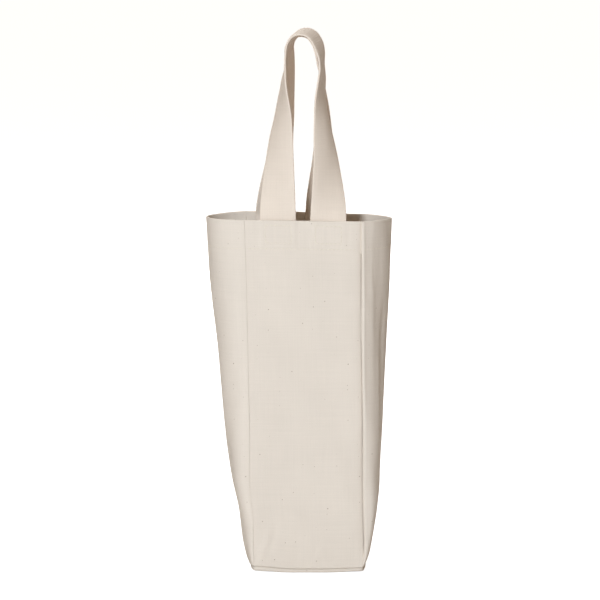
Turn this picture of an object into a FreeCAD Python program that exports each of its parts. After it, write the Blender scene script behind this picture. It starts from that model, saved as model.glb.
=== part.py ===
"""A sewn cotton canvas carrier for one wine bottle, with two webbing handles.

The frame is in millimetres: origin at the middle of the base on the floor, +Z up, -Y to the front.
Front and back panels are flat and lean in towards the rim, because the side gussets belly out.
The back is the front turned half a turn about Z, and the right gusset is the left one turned so.
"""
import FreeCAD, Part
import math
import os
import Sketcher
from FreeCAD import Placement, Rotation, Vector

DRIVING_SIZES = [
    ("body_height", 280),       # floor to rim
    ("panel_width", 93),        # front and back panel at the rim, seam to seam
    ("base_width", 88),         # the same panel at the base seam
    ("gusset_width", 93),       # cloth across a gusset, seam to seam, the same all the way up
    ("gusset_spread", 27.5),    # how far a gusset bellies out at the rim
    ("base_spread", 1),         # and at the base seam
    ("cloth", 0.8),             # canvas thickness
    ("layer_gap", 0.15),        # clearance between layers that are sewn together
    ("hem_depth", 25),          # cloth turned in at the rim
    ("seam_allowance", 9),      # turned-in cloth along the upright seams
    ("base_allowance", 9),      # turned-up cloth along the base seam
    ("base_roll", 3.2),         # height of the base seam over the floor
    ("base_corner", 4),         # corner radius of the base
    ("base_bevel", 2.2),        # bevel of the base's lower edge
    ("strap_width", 28.5),      # webbing
    ("strap_thickness", 2.2),
    ("strap_spacing", 40),      # between the middles of a handle's two legs at the rim
    ("strap_tuck", 24),         # webbing sewn down inside the hem
    ("handle_height", 150.5),   # top of the handles over the rim
    ("arch_width", 27.6),       # between the middles of the webbing where the arch starts
    ("arch_rise", 36),          # from the start of the arch to its top
    ("handle_parting", 1.5),    # between the two handles where they come side by side
    ("rim_gap", 0.4),           # between a sewn end and the loop that bends away from it
    ("thread", 0.5),            # thread width
    ("thread_lift", 0.1),       # how far a stitch lies off the cloth
    ("stitch_pitch", 6),
    ("stitch_gap", 1.2),        # between one stitch and the next
    ("stitch_inset", 2.5),      # rows of stitches from the edge that they hold
    ("tack_inset", 4),          # box stitches from the edges of the webbing end
    ("overlock_pitch", 9),      # bars of thread over the raw edges
]

# Shapes worked out from the driving sizes. A flat panel's cloth line follows from the gusset's
# width: an arc of length L and rise s spans close to sqrt(L^2 - 16/3 s^2).
WORKED_SIZES = [
    ("rim_depth", "sqrt(Sizes.gusset_width^2 - 16/3*Sizes.gusset_spread^2)"),
    ("base_depth", "sqrt(Sizes.gusset_width^2 - 16/3*Sizes.base_spread^2)"),
    ("panel_rise", "Sizes.body_height - Sizes.base_roll"),
    ("panel_set", "(base_depth - rim_depth)/2"),
    ("panel_length", "sqrt(panel_rise^2 + panel_set^2)"),
    ("fold", "1.25*Sizes.cloth"),
    ("strap_seat", "2*Sizes.cloth + Sizes.layer_gap"),
    ("leg_inside", "(Sizes.strap_spacing - Sizes.strap_width)/2"),
    ("arch_start", "Sizes.handle_height - Sizes.arch_rise"),
    ("stitch_length", "Sizes.stitch_pitch - Sizes.stitch_gap"),
    ("flange_foot", "Sizes.base_allowance + 2*Sizes.layer_gap"),
    ("flange_top", "panel_length - Sizes.hem_depth - Sizes.layer_gap"),
    ("foot_share", "sqrt(Sizes.base_allowance/panel_rise)"),
    ("hem_share", "sqrt(1 - Sizes.hem_depth/panel_rise)"),
    ("base_side", "Sizes.base_width/2 + Sizes.layer_gap + fold"),
    ("ring_side", "Sizes.base_width/2 - 2*Sizes.cloth"),
    ("ring_depth", "base_depth/2 - 2*Sizes.cloth - Sizes.layer_gap"
                   " - (Sizes.base_allowance + Sizes.base_roll)*panel_set/panel_rise"),
]

GUSSET_SPANS = 13       # spans of a gusset's loft between its base allowance and its hem
LEG_STATIONS = 6        # sections of a handle's leg
ARCH_STATIONS = 13      # sections of a handle's arch
UP = Vector(0, 0, 1)
ACROSS = Vector(1, 0, 0)

doc = FreeCAD.newDocument("bottle_carrier")


def fill_sheet(name, rows):
    """Make a spreadsheet with one named value a row."""
    sheet = doc.addObject("Spreadsheet::Sheet", name)
    for row, (alias, content) in enumerate(rows, start=1):
        sheet.set(f"A{row}", alias)
        sheet.set(f"B{row}", content if isinstance(content, str) else str(content))
        sheet.setAlias(f"B{row}", alias)
    return sheet


sizes = fill_sheet("Sizes", DRIVING_SIZES)
doc.recompute()
worked = fill_sheet("Worked", [(alias, "=" + formula) for alias, formula in WORKED_SIZES])
doc.recompute()


def value(formula):
    """The number that a formula on the two sheets gives now."""
    return float(sizes.evalExpression(formula))


def size(alias):
    return float(sizes.get(alias))


def work(alias):
    return float(worked.get(alias))


def turned(degrees):
    """A turn of the whole piece about the upright middle line."""
    return Placement(Vector(), Rotation(UP, degrees))


def leaning(degrees):
    """The frame of a flat panel: X across, Z up along the cloth, Y through it to the inside."""
    lean = math.degrees(math.atan2(work("panel_set"), work("panel_rise")))
    foot = Vector(0, -work("base_depth") / 2, size("base_roll"))
    return turned(degrees).multiply(Placement(foot, Rotation(ACROSS, -lean)))


def new_body(name):
    body = doc.addObject("PartDesign::Body", name)
    body.Label = name
    return body


def new_sketch(body, name, role, height="0"):
    """A sketch on one of the body's own planes, raised by a formula."""
    sketch = body.newObject("Sketcher::SketchObject", name)
    plane = next(item for item in body.Origin.OriginFeatures if item.Role == role)
    sketch.AttachmentSupport = (plane, [""])
    sketch.MapMode = "FlatFace"
    if height != "0":
        sketch.setExpression("AttachmentOffset.Base.z", height)
    return sketch


def pin_point(sketch, edge, end, x_formula, y_formula):
    """Hold one end of an edge at a point given by two formulas."""
    for kind, formula, axis in (("DistanceX", x_formula, -2), ("DistanceY", y_formula, -1)):
        if formula == "0":
            sketch.addConstraint(Sketcher.Constraint("PointOnObject", edge, end, axis))
        else:
            distance = Sketcher.Constraint(kind, -1, 1, edge, end, value(formula))
            row = sketch.addConstraint(distance)
            sketch.setExpression(f"Constraints[{row}]", formula)


def draw_outline(sketch, corners, arcs=None):
    """Close an outline through corners given as formulas.

    arcs gives an edge its radius and the x of its middle, as formulas. Each arc bows to the -X side
    of its middle, which lies on the X axis.
    """
    arcs = arcs or {}
    spots = [Vector(value(x), value(y), 0) for x, y in corners]
    heads = []
    for edge, start in enumerate(spots):
        finish = spots[(edge + 1) % len(spots)]
        if edge not in arcs:
            sketch.addGeometry(Part.LineSegment(start, finish))
            heads.append(1)
            continue
        radius, middle = arcs[edge]
        centre = Vector(value(middle), 0, 0)
        apex = centre - ACROSS * value(radius)
        forward = (apex - start).cross(finish - apex).z > 0
        first, last = (start, finish) if forward else (finish, start)
        begin = math.atan2(first.y - centre.y, first.x - centre.x)
        close = math.atan2(last.y - centre.y, last.x - centre.x)
        if close < begin:
            close += 2 * math.pi
        sketch.addGeometry(Part.ArcOfCircle(Part.Circle(centre, UP, value(radius)), begin, close))
        heads.append(1 if forward else 2)
    for edge in range(len(spots)):
        after = (edge + 1) % len(spots)
        sketch.addConstraint(Sketcher.Constraint("Coincident", edge, 3 - heads[edge], after, heads[after]))
    for edge, (x, y) in enumerate(corners):
        pin_point(sketch, edge, heads[edge], x, y)
    for edge, (radius, middle) in arcs.items():
        row = sketch.addConstraint(Sketcher.Constraint("Radius", edge, value(radius)))
        sketch.setExpression(f"Constraints[{row}]", radius)


def pad(body, name, role, corners, length, inward=False, height="0"):
    """A closed outline padded by a formula's length."""
    sketch = new_sketch(body, name + "_outline", role, height)
    draw_outline(sketch, corners)
    feature = body.newObject("PartDesign::Pad", name)
    feature.Profile = sketch
    feature.setExpression("Length", length)
    feature.Reversed = inward
    feature.Refine = False
    return feature


def dress_edges(body, name, base, edges, kind, measure):
    """Round or bevel the edges that a test picks out; the kind is Fillet or Chamfer."""
    doc.recompute()
    picked = [f"Edge{number}" for number, edge in enumerate(base.Shape.Edges, start=1) if edges(edge)]
    feature = body.newObject(f"PartDesign::{kind}", name)
    feature.Base = (base, picked)
    feature.setExpression("Radius" if kind == "Fillet" else "Size", measure)
    return feature


def rectangle(left, right, low, high):
    return [(left, low), (right, low), (right, high), (left, high)]


def panel_edge(height):
    """Half the width of a panel at a height along the cloth, as a formula."""
    return f"(Sizes.base_width + (Sizes.panel_width - Sizes.base_width)*({height})/Worked.panel_length)/2"


def panel_strip(low, high, inset="0"):
    """The part of a panel between two heights, kept in from both upright edges."""
    return [(f"{inset} - {panel_edge(low)}", low), (f"{panel_edge(low)} - {inset}", low),
            (f"{panel_edge(high)} - {inset}", high), (f"{inset} - {panel_edge(high)}", high)]


def flange_strip(side):
    """Footprint of a turned-in seam allowance along one upright edge of a panel."""
    low, high = "Worked.flange_foot", "Worked.flange_top"
    outer_low, outer_high = panel_edge(low), panel_edge(high)
    if side < 0:
        return [(f"-{outer_low}", low), (f"Sizes.cloth - {outer_low}", low),
                (f"Sizes.cloth - {outer_high}", high), (f"-{outer_high}", high)]
    return [(f"{outer_low} - Sizes.cloth", low), (outer_low, low),
            (outer_high, high), (f"{outer_high} - Sizes.cloth", high)]


def build_panel(name, degrees):
    """A flat panel with its hem, its base allowance and its two side allowances turned in."""
    body = new_body(name)
    length = "Worked.panel_length"
    pad(body, name + "_wall", "XZ_Plane", panel_strip("0", length), "Sizes.cloth", inward=True)
    pad(body, name + "_foot", "XZ_Plane", panel_strip("0", "Sizes.base_allowance", "3*Sizes.cloth"),
        "2*Sizes.cloth", inward=True)
    for side, word in ((-1, "left"), (1, "right")):
        pad(body, f"{name}_{word}_flange", "XZ_Plane", flange_strip(side), "Sizes.seam_allowance",
            inward=True)
    hem = pad(body, name + "_hem", "XZ_Plane", panel_strip(f"{length} - Sizes.hem_depth", length),
              "2*Sizes.cloth", inward=True)

    def along_rim(edge):
        at_rim = all(abs(vertex.Z - work("panel_length")) < 1e-6 for vertex in edge.Vertexes)
        return at_rim and edge.Length > size("panel_width") / 2
    dress_edges(body, name + "_rim_fold", hem, along_rim, "Fillet", "0.8*Sizes.cloth")
    body.Placement = leaning(degrees)
    return body


stations = []


def gusset_station(label, share):
    """Named values of a gusset's section; share runs from 0 at the base seam to 1 at the rim.

    Height grows with the square of the share and the belly in step with it, as a full gusset falls.
    """
    rows = [
        ("height", f"Sizes.base_roll + panel_rise*({share})^2"),
        ("chord", f"(base_depth + (rim_depth - base_depth)*({share})^2)/2"),
        ("edge", f"(Sizes.base_width + (Sizes.panel_width - Sizes.base_width)*({share})^2)/2"
                 " + Sizes.layer_gap + fold"),
        ("spread", f"Sizes.base_spread + (Sizes.gusset_spread - Sizes.base_spread)*({share})"),
        ("radius", f"({label}_chord^2 + {label}_spread^2)/(2*{label}_spread)"),
        ("middle", f"{label}_radius - {label}_spread - {label}_edge"),
    ]
    first = len(WORKED_SIZES) + 1 + len(rows) * len(stations)
    for row, (part, formula) in enumerate(rows, start=first):
        worked.set(f"A{row}", f"{label}_{part}")
        worked.set(f"B{row}", "=" + formula)
        worked.setAlias(f"B{row}", f"{label}_{part}")
    stations.append(label)
    doc.recompute()
    return f"Worked.{label}"


def arc_x(at, radius, half_span):
    """X where an arc round a station's middle ends, as a formula: past half a circle it turns back."""
    return f"{at}_middle + ({at}_spread > {at}_radius ? 1 : -1)*sqrt(({radius})^2 - ({half_span})^2)"


def wall_section(body, name, at):
    """Section of a gusset's cloth: an arc with a square fold at each end, where the allowance starts."""
    edge, chord, radius, middle = (f"{at}_{part}" for part in ("edge", "chord", "radius", "middle"))
    inner_radius = f"({radius} - Sizes.cloth)"
    fold_end = f"({chord} - Sizes.cloth)"
    fold_in = f"Worked.fold - {edge}"
    meet = arc_x(at, inner_radius, fold_end)
    corners = [(f"-{edge}", f"-{chord}"), (f"-{edge}", chord), (fold_in, chord), (fold_in, fold_end),
               (meet, fold_end), (meet, f"-{fold_end}"), (fold_in, f"-{fold_end}"), (fold_in, f"-{chord}")]
    sketch = new_sketch(body, name, "XY_Plane", f"{at}_height")
    draw_outline(sketch, corners, {0: (radius, middle), 4: (inner_radius, middle)})
    return sketch


def layer_section(body, name, at, setback):
    """Section of a second layer of cloth on the inside of a gusset, set back from the folds."""
    radius, middle = f"{at}_radius", f"{at}_middle"
    reach = f"(({at}_chord - {setback})/{radius})"
    outer_radius = f"({radius} - Sizes.cloth/2)"
    inner_radius = f"({radius} - 2*Sizes.cloth)"
    outer_y, inner_y = f"{outer_radius}*{reach}", f"{inner_radius}*{reach}"
    outer_x, inner_x = arc_x(at, outer_radius, outer_y), arc_x(at, inner_radius, inner_y)
    corners = [(outer_x, f"-{outer_y}"), (outer_x, outer_y), (inner_x, inner_y), (inner_x, f"-{inner_y}")]
    sketch = new_sketch(body, name, "XY_Plane", f"{at}_height")
    draw_outline(sketch, corners, {0: (outer_radius, middle), 2: (inner_radius, middle)})
    return sketch


def flange_section(body, name, at, side):
    """Section of a gusset's turned-in allowance, which starts in the fold."""
    edge, chord = f"{at}_edge", f"{at}_chord"
    left = f"(Worked.fold - Sizes.cloth)/2 - {edge}"
    right = f"(Worked.fold + Sizes.cloth)/2 - {edge}"
    near = f"{chord} - Sizes.cloth/2"
    far = f"{chord} - Sizes.seam_allowance"
    sketch = new_sketch(body, name, "XY_Plane", f"{at}_height")
    if side < 0:
        draw_outline(sketch, rectangle(left, right, f"-({near})", f"-({far})"))
    else:
        draw_outline(sketch, rectangle(left, right, far, near))
    return sketch


def loft(body, name, sections):
    feature = body.newObject("PartDesign::AdditiveLoft", name)
    feature.Profile = sections[0]
    feature.Sections = sections[1:]
    feature.Ruled = True
    feature.Refine = False
    return feature


def build_gusset(name, degrees):
    """A bellied side gusset with its hem, base allowance and side allowances turned in."""
    body = new_body(name)
    wall = [wall_section(body, f"{name}_wall_{at.split('.')[1]}", at) for at in wall_stations]
    loft(body, name + "_wall", wall)
    for word, places, setback in (("foot", foot_stations, "3*Sizes.cloth"), ("hem", hem_stations, "0")):
        layer = [layer_section(body, f"{name}_{word}_{at.split('.')[1]}", at, setback) for at in places]
        loft(body, f"{name}_{word}", layer)
    for side, word in ((-1, "front"), (1, "back")):
        ends = [flange_section(body, f"{name}_{word}_{at.split('.')[1]}", at, side) for at in flange_stations]
        loft(body, f"{name}_{word}_flange", ends)
    body.Placement = turned(degrees)
    return body


def build_base(name):
    """The base panel: a rolled edge under the base seam, and its allowance turned up inside."""
    body = new_body(name)
    side, depth = "Worked.base_side", "Worked.base_depth/2"
    outline = rectangle(f"-{side}", side, f"-{depth}", depth)
    roll_top = "Sizes.base_roll - Sizes.layer_gap"
    roll = pad(body, name + "_roll", "XY_Plane", outline, roll_top)

    def upright(edge):
        return abs(edge.tangentAt(edge.FirstParameter).z) > 0.9
    corners = dress_edges(body, name + "_corners", roll, upright, "Fillet", "Sizes.base_corner")

    def lower(edge):
        return all(abs(vertex.Z) < 1e-6 for vertex in edge.Vertexes)
    bevel = f"min(Sizes.base_bevel; 0.9*({roll_top}))"
    dress_edges(body, name + "_bevel", corners, lower, "Chamfer", bevel)
    ring = rectangle("-Worked.ring_side", "Worked.ring_side", "-Worked.ring_depth", "Worked.ring_depth")
    pad(body, name + "_ring", "XY_Plane", ring, "Sizes.base_roll + Sizes.base_allowance - 1.5*Sizes.cloth",
        height="1.5*Sizes.cloth")
    room = rectangle("Sizes.cloth - Worked.ring_side", "Worked.ring_side - Sizes.cloth",
                     "Sizes.cloth - Worked.ring_depth", "Worked.ring_depth - Sizes.cloth")
    sketch = new_sketch(body, name + "_room_outline", "XY_Plane", "Sizes.cloth")
    draw_outline(sketch, room)
    doc.recompute()
    before = body.Shape.Volume
    pocket = body.newObject("PartDesign::Pocket", name + "_room")
    pocket.Profile = sketch
    pocket.setExpression("Length", "Sizes.base_roll + Sizes.base_allowance")
    pocket.Reversed = True
    pocket.Refine = False
    doc.recompute()
    if body.Shape.Volume > 0.7 * before:
        raise RuntimeError("the base panel's room was not cut")
    return body


def leg_frame(side, share):
    """Middle, width direction and lengthwise direction of a handle's leg, rim to arch.

    The inside edge stays close to the panel's plane. The webbing turns about it, from flat
    along the panel to square to it, so that the outside edge swings in over the mouth.
    """
    turn = math.pi / 2 * share
    rim_y = work("strap_seat") + size("strap_thickness") / 2 - work("rim_depth") / 2
    arch_y = -size("strap_width") - size("handle_parting") / 2
    inside_x = work("leg_inside") + (size("arch_width") / 2 - work("leg_inside")) * share ** 2
    inside_y = rim_y + (arch_y - rim_y) * share
    rise = size("rim_gap") + (work("arch_start") - size("rim_gap")) * share
    outward = Vector(side * math.cos(turn), math.sin(turn), 0)
    edge = Vector(side * inside_x, inside_y, size("body_height") + rise)
    return edge + outward * (size("strap_width") / 2), outward, Vector(0, 0, -side)


def arch_frame(share):
    """The same for the arch, left to right: half an ellipse with the webbing square to the panel."""
    angle = math.pi * (1 - share)
    half_width = size("arch_width") / 2
    rise = size("handle_height") - work("arch_start") - size("strap_thickness") / 2
    middle = Vector(half_width * math.cos(angle), -(size("strap_width") + size("handle_parting")) / 2,
                    size("body_height") + work("arch_start") + rise * math.sin(angle))
    along = Vector(half_width * math.sin(angle), 0, -rise * math.cos(angle))
    return middle, Vector(0, 1, 0), along.normalize()


def build_loop(name, degrees):
    """The free loop of a handle: webbing lofted up one leg, over the arch and down the other leg."""
    body = new_body(name)
    shares = [number / LEG_STATIONS for number in range(LEG_STATIONS)]
    frames = [leg_frame(-1, share) for share in shares]
    frames += [arch_frame(number / (ARCH_STATIONS - 1)) for number in range(ARCH_STATIONS)]
    frames += [leg_frame(1, share) for share in reversed(shares)]
    half_width, half_thickness = "Sizes.strap_width/2", "Sizes.strap_thickness/2"
    sections = []
    for number, (middle, across, along) in enumerate(frames):
        sketch = body.newObject("Sketcher::SketchObject", f"{name}_section_{number}")
        draw_outline(sketch, rectangle(f"-{half_width}", half_width, f"-{half_thickness}", half_thickness))
        sketch.Placement = Placement(middle, Rotation(across, along.cross(across), along, "XYZ"))
        sections.append(sketch)
    loft(body, name + "_webbing", sections)
    body.Placement = turned(degrees)
    return body


def build_strap_end(name, degrees, side):
    """A webbing end sewn flat inside the hem."""
    body = new_body(name)
    middle = f"{side}*Sizes.strap_spacing/2"
    outline = rectangle(f"{middle} - Sizes.strap_width/2", f"{middle} + Sizes.strap_width/2",
                        "Worked.panel_length - Sizes.strap_tuck", "Worked.panel_length")
    sketch = new_sketch(body, name + "_outline", "XZ_Plane", "-Worked.strap_seat")
    draw_outline(sketch, outline)
    feature = body.newObject("PartDesign::Pad", name + "_webbing")
    feature.Profile = sketch
    feature.setExpression("Length", "Sizes.strap_thickness")
    feature.Reversed = True
    body.Placement = leaning(degrees)
    return body


def stitch(middle, along, outward, length):
    """One three-sided bar of thread on a face, lengthwise along it, just off the cloth."""
    start, half, lift = -length / 2, size("thread") / 2, size("thread_lift")
    corners = [Vector(start, -half, lift), Vector(start, half, lift), Vector(start, 0, lift + size("thread"))]
    along, outward = Vector(along).normalize(), Vector(outward).normalize()
    bar = Part.Face(Part.makePolygon(corners + corners[:1])).extrude(Vector(length, 0, 0))
    bar.Placement = Placement(middle, Rotation(along, outward.cross(along), outward, "XYZ"))
    return bar


def row_of_stitches(start, finish, outward):
    """Stitches at an even pitch between two points of a flat face."""
    run = finish - start
    count = int(run.Length / size("stitch_pitch"))
    return [stitch(start + run * ((number + 0.5) / count), run, outward, work("stitch_length"))
            for number in range(count)]


def add_group(name, bars, placement):
    """Stitches of one seam as a group of solids in one node."""
    piece = doc.addObject("Part::Feature", name)
    piece.Label = name
    piece.Shape = Part.makeCompound(bars)
    piece.Placement = placement
    return piece


def gusset_row(at, depth_in, outward):
    """Stitches round the arc of the left gusset at a station, on its outer face or its inner one."""
    radius, chord, spread = (value(f"{at}_{part}") for part in ("radius", "chord", "spread"))
    centre = Vector(value(f"{at}_middle"), 0, value(f"{at}_height"))
    end_room = 2 * size("thread") + work("stitch_length") / 2
    reach = math.atan2(chord, radius - spread) - end_room / radius
    count = int(2 * reach * radius / size("stitch_pitch"))
    bars = []
    for number in range(count + 1):
        angle = math.pi + reach * (2 * number / count - 1)
        ray = Vector(math.cos(angle), math.sin(angle), 0)
        spot = centre + ray * (radius - depth_in)
        bars.append(stitch(spot, ray.cross(UP), ray * outward, work("stitch_length")))
    return bars


def build_hem_stitching():
    """One row round the carrier that holds the hem, seen outside and inside."""
    level = work("panel_length") - size("hem_depth") + size("stitch_inset")
    half = value(panel_edge(level)) - size("thread")
    strap_in = work("leg_inside") - size("thread")
    strap_out = strap_in + size("strap_width") + 2 * size("thread")
    inside = 2 * size("cloth")
    bars = []
    for degrees in (0, 180):
        flat = row_of_stitches(Vector(-half, 0, level), Vector(half, 0, level), Vector(0, -1, 0))
        for low, high in ((-half, -strap_out), (-strap_in, strap_in), (strap_out, half)):
            flat += row_of_stitches(Vector(low, inside, level), Vector(high, inside, level), Vector(0, 1, 0))
        for bar in flat:
            bar.Placement = leaning(degrees).multiply(bar.Placement)
        round_rows = gusset_row(stitch_station, 0, 1) + gusset_row(stitch_station, 2 * size("cloth"), -1)
        for bar in round_rows:
            bar.Placement = turned(degrees).multiply(bar.Placement)
        bars += flat + round_rows
    return add_group("hem_stitching", bars, Placement())


def build_tack(name, degrees, side):
    """The box of stitches that holds a webbing end, seen on the webbing and on the panel's outside."""
    middle = side * size("strap_spacing") / 2
    half = size("strap_width") / 2 - size("tack_inset")
    low = work("panel_length") - min(size("strap_tuck"), size("hem_depth")) + 1.5 * size("tack_inset")
    high = work("panel_length") - size("tack_inset")
    turn = size("thread")
    bars = []
    for depth, outward in ((0, -1), (work("strap_seat") + size("strap_thickness"), 1)):
        facing = Vector(0, outward, 0)
        for level in (low, high):
            start, finish = Vector(middle - half, depth, level), Vector(middle + half, depth, level)
            bars += row_of_stitches(start, finish, facing)
        for x in (middle - half, middle + half):
            bars += row_of_stitches(Vector(x, depth, low + turn), Vector(x, depth, high - turn), facing)
    return add_group(name, bars, leaning(degrees))


def build_seam_stitching(name, degrees, side):
    """The row through both side allowances, beside an upright seam."""
    low, high = work("flange_foot"), work("flange_top")
    depth = size("cloth") + size("stitch_inset")
    start = Vector(side * (value(panel_edge(low)) - size("cloth")), depth, low)
    finish = Vector(side * (value(panel_edge(high)) - size("cloth")), depth, high)
    return add_group(name, row_of_stitches(start, finish, Vector(-side, 0, 0)), leaning(degrees))


def build_overlock(name, degrees, side):
    """Bars of thread over the raw edges of both side allowances of an upright seam."""
    low, high = work("flange_foot"), work("flange_top")
    count = int((high - low) / size("overlock_pitch"))
    width = 2 * size("cloth") + size("layer_gap") + (work("fold") - size("cloth")) / 2
    bars = []
    for number in range(count):
        level = low + (high - low) * (number + 0.5) / count
        middle = side * (value(panel_edge(level)) - size("cloth") + width / 2)
        edge = Vector(middle, size("seam_allowance") + size("thread_lift"), level)
        bars.append(stitch(edge, ACROSS, Vector(0, 1, 0), width))
    return add_group(name, bars, leaning(degrees))


def build_base_stitching(name):
    """The row through the base allowance, all round the inside of the base."""
    level = size("base_roll") + size("stitch_inset")
    side, depth = work("ring_side") - size("cloth"), work("ring_depth") - size("cloth")
    turn = 2 * size("thread")
    bars = []
    for facing in (-1, 1):
        bars += row_of_stitches(Vector(turn - side, facing * depth, level),
                                Vector(side - turn, facing * depth, level), Vector(0, -facing, 0))
        bars += row_of_stitches(Vector(facing * side, turn - depth, level),
                                Vector(facing * side, depth - turn, level), Vector(-facing, 0, 0))
    return add_group(name, bars, Placement())


foot_stations = [gusset_station(f"foot_{number}", f"foot_share*{number}/2") for number in range(3)]
belly_step = f"(hem_share - foot_share)/{GUSSET_SPANS}"
belly_stations = [gusset_station(f"belly_{number}", f"foot_share + {belly_step}*{number}")
                  for number in range(1, GUSSET_SPANS)]
hem_stations = [gusset_station("hem_low", "hem_share"), gusset_station("hem_high", "1")]
wall_stations = foot_stations + belly_stations + hem_stations
stitch_station = gusset_station("stitches", "sqrt(1 - (Sizes.hem_depth - Sizes.stitch_inset)/panel_rise)")
flange_stations = [gusset_station("flange_low", "sqrt(flange_foot/panel_rise)"),
                   gusset_station("flange_high", "sqrt(1 - (Sizes.hem_depth + Sizes.layer_gap)/panel_rise)")]

pieces = [build_base("base_panel"), build_gusset("left_gusset", 0), build_gusset("right_gusset", 180)]
for face, degrees in (("front", 0), ("back", 180)):
    pieces.append(build_panel(f"{face}_panel", degrees))
    pieces.append(build_loop(f"{face}_handle_loop", degrees))
    for side in (-1, 1):
        word = "left" if (side < 0) == (face == "front") else "right"
        pieces.append(build_strap_end(f"{face}_handle_{word}_end", degrees, side))
        pieces.append(build_tack(f"{face}_handle_{word}_tack", degrees, side))
        pieces.append(build_seam_stitching(f"{face}_{word}_seam_stitching", degrees, side))
        pieces.append(build_overlock(f"{face}_{word}_overlock", degrees, side))
pieces.append(build_hem_stitching())
pieces.append(build_base_stitching("base_seam_stitching"))
doc.recompute()

for item in doc.Objects:
    if "Invalid" in item.State or "Error" in item.State:
        raise RuntimeError(f"{item.Name} failed: {item.State}")
for piece in pieces:
    if piece.Shape.isNull() or not piece.Shape.isValid():
        raise RuntimeError(f"{piece.Label} has no valid shape")

os.makedirs("parts", exist_ok=True)
for piece in pieces:
    piece.Shape.exportStep(f"parts/{piece.Label}.step")
    middle = piece.Shape.BoundBox.Center
    print(f"{piece.Label}: {len(piece.Shape.Solids)} solids, {piece.Shape.Volume:.0f} mm3, "
          f"middle {middle.x:.1f}, {middle.y:.1f}, {middle.z:.1f}")
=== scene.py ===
# %% [markdown]
# # A canvas carrier for one bottle
# The real object is cut from flat cotton canvas and sewn: a front, a back, two side gussets and a square
# base, with two lengths of heavy cotton webbing as handles. The scene is made the same way. Each piece is
# first a flat cut of cloth, and is then bent to where it is sewn. The imported model is loaded first, and
# each of its parts is hidden when the piece that takes its place is made.

# %% Load the imported frame
import math
import bpy
import numpy as np
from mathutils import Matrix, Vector


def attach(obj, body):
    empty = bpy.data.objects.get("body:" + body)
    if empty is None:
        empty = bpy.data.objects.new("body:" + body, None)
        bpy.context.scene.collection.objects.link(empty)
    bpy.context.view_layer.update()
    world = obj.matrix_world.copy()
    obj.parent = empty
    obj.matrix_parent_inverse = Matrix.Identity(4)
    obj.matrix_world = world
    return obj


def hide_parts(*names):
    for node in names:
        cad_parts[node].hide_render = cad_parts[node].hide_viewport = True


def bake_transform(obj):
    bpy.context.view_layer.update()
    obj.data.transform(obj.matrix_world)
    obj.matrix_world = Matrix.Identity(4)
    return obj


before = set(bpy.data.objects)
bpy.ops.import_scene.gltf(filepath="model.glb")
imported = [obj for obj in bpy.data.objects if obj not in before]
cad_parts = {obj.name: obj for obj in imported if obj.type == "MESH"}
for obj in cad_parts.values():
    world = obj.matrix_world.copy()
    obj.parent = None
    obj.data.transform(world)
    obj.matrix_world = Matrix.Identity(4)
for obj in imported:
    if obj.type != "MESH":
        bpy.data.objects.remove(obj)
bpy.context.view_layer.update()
MM = 0.001
print("nodes in the frame:", len(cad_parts))

# %% [markdown]
# ## Camera
# The photograph is almost square to the front and looks slightly down into the mouth. Upright lines hardly
# converge, so it was taken from far off with a long lens. A camera 3 m away gives the same flat look.

# %% Camera
CAMERA_DISTANCE = 3.0
CAMERA_TILT = math.radians(6.53)
LOOK_AT = Vector((-0.004, 0, 0.2128))
bpy.ops.object.select_all(action="DESELECT")
back = Vector((0, -math.cos(CAMERA_TILT), math.sin(CAMERA_TILT)))
bpy.ops.object.camera_add(location=LOOK_AT + back * CAMERA_DISTANCE,
                          rotation=(math.pi / 2 - CAMERA_TILT, 0, 0))
camera = bpy.context.object
camera.name = "photo_camera"
camera.data.lens = 225
camera.data.sensor_width = 36
camera.data.clip_end = 100
bpy.context.scene.camera = camera
print("camera at", [round(part, 3) for part in camera.location])

# %% [markdown]
# ## Light and floor
# The key lamp stands to the left of the camera and a little over the rim, so the front and the left gusset
# are bright, the right gusset falls off into shade, and the handles' legs shade the inside of the back. A
# lamp overhead lights the arch, a lamp behind lights the back and the inside of the front, and a weak warm
# surround keeps the shade open. The floor is pale and takes the carrier's own soft shadow. What the camera
# sees behind it is plain white.

# %% Soft studio lamps
def soft_lamp(name, place, target, width, watts, tint):
    bpy.ops.object.light_add(type="AREA", location=place)
    lamp = bpy.context.object
    lamp.name = name
    lamp.data.shape = "DISK"
    lamp.data.size = width
    lamp.data.energy = watts
    lamp.data.color = tint
    lamp.rotation_euler = (Vector(target) - Vector(place)).to_track_quat("-Z", "Y").to_euler()


soft_lamp("key_lamp", place=(-0.71, -2.91, 0.85), target=(0, 0, 0.22), width=0.5, watts=63,
          tint=(0.86, 0.936, 1.0))
soft_lamp("top_lamp", place=(0.1, 0.2, 3.0), target=(0, 0, 0.2), width=1.2, watts=32,
          tint=(0.9, 0.95, 1.0))
soft_lamp("back_lamp", place=(-0.5, 2.8, 1.3), target=(0, 0, 0.22), width=0.8, watts=42,
          tint=(0.93, 0.945, 0.95))
bpy.context.scene.view_settings.view_transform = "Standard"
print("lamps:", len(bpy.data.lights))

# %% Surround and white background
SURROUND_TINT = (1.0, 0.71, 0.42, 1)
SURROUND_STRENGTH = 0.19
WHITE = (1, 1, 1, 1)


def feed(tree, socket, value):
    """Give a socket a plain value, or link another node's output to it."""
    if isinstance(value, (int, float, tuple)):
        socket.default_value = value
    else:
        tree.links.new(value, socket)


def math_node(tree, operation, *values):
    node = tree.nodes.new("ShaderNodeMath")
    node.operation = operation
    for socket, value in zip(node.inputs, values):
        feed(tree, socket, value)
    return node.outputs[0]


def background(tree, colour, strength):
    node = tree.nodes.new("ShaderNodeBackground")
    feed(tree, node.inputs["Color"], colour)
    feed(tree, node.inputs["Strength"], strength)
    return node.outputs[0]


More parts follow.
